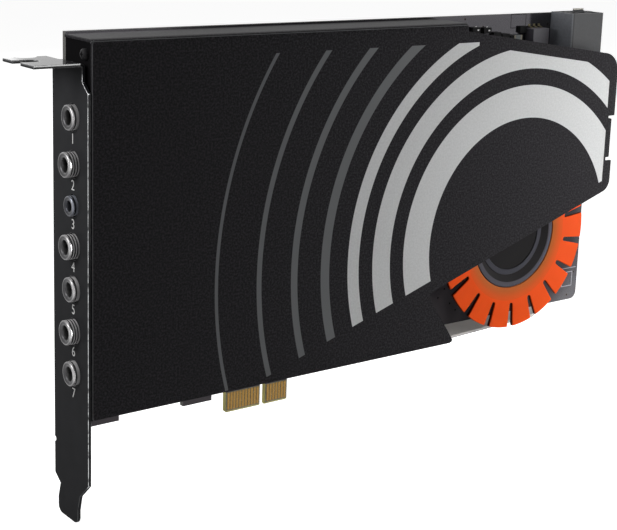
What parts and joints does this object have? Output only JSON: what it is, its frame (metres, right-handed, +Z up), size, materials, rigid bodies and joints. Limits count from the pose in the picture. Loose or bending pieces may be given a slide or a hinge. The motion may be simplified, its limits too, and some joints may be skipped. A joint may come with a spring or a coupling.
{
  "type": "internal sound card",
  "caption": "Internal computer sound card with a slotted bracket of audio sockets, a folded black cover, gold edge contacts and a round slotted orange light disc.",
  "frame": {"origin": "centre of the pad under the bracket's tab, where the card seats on the computer's case", "axes": "+X along the card away from the bracket, +Y from the covered side to the solder side, +Z up"},
  "size_m": [0.2054, 0.0199, 0.1281],
  "materials": {
    "black_bracket": "satin black coat",
    "board_laminate": "black solder mask, glossy",
    "gold_plating": "bright gold plating",
    "black_cover": "fine powder coat with silver paint fields",
    "chrome_sleeve": "bright nickel",
    "socket_plastic": "moulded black",
    "spring_metal": "satin",
    "orange_disc": "translucent orange, satin",
    "hub_plastic": "moulded dark grey",
    "inlet_plastic": "moulded black, fine grain",
    "pin_metal": "tinned",
    "chip_plastic": "moulded black epoxy",
    "relay_plastic": "satin grey",
    "capacitor_can": "drawn can",
    "film_case": "moulded dark red",
    "oscillator_can": "stamped lid",
    "coil_case": "pressed ferrite",
    "ceramic_chip": "fired ceramic",
    "screw_steel": "blackened steel"
  },
  "bodies": {
    "root": {"audio_processor": "chip_plastic", "back_contacts": "gold_plating", "bracket": "black_bracket", "bus_bridge": "chip_plastic", "capacitor_1": "capacitor_can", "capacitor_2": "capacitor_can", "ceramic_capacitor": "ceramic_chip", "chip_passives": "ceramic_chip", "circuit_board": "board_laminate", "coil_1": "coil_case", "coil_2": "coil_case", "cover": "black_cover", "disc_hub": "hub_plastic", "film_capacitor_1": "film_case", "film_capacitor_2": "film_case", "film_capacitor_3": "film_case", "film_capacitor_4": "film_case", "front_contacts": "gold_plating", "headphone_amplifier": "chip_plastic", "light_disc": "orange_disc", "op_amp_1": "chip_plastic", "op_amp_2": "chip_plastic", "op_amp_3": "chip_plastic", "op_amp_4": "chip_plastic", "oscillator_1": "oscillator_can", "oscillator_2": "oscillator_can", "playback_converter": "chip_plastic", "power_inlet": "inlet_plastic", "power_pins": "pin_metal", "power_relay": "relay_plastic", "record_converter": "chip_plastic", "regulator_1": "chip_plastic", "regulator_2": "chip_plastic", "relay_1": "relay_plastic", "relay_2": "relay_plastic", "relay_3": "relay_plastic", "socket_housing_1": "socket_plastic", "socket_housing_2": "socket_plastic", "socket_housing_3": "socket_plastic", "socket_housing_4": "socket_plastic", "socket_housing_5": "socket_plastic", "socket_housing_6": "socket_plastic", "socket_housing_7": "socket_plastic", "socket_sleeve_1": "chrome_sleeve", "socket_sleeve_2": "chrome_sleeve", "socket_sleeve_3": "chrome_sleeve", "socket_sleeve_4": "chrome_sleeve", "socket_sleeve_5": "chrome_sleeve", "socket_sleeve_6": "chrome_sleeve", "socket_sleeve_7": "chrome_sleeve", "socket_springs": "spring_metal", "transistor": "chip_plastic"}
  },
  "joints": []
}
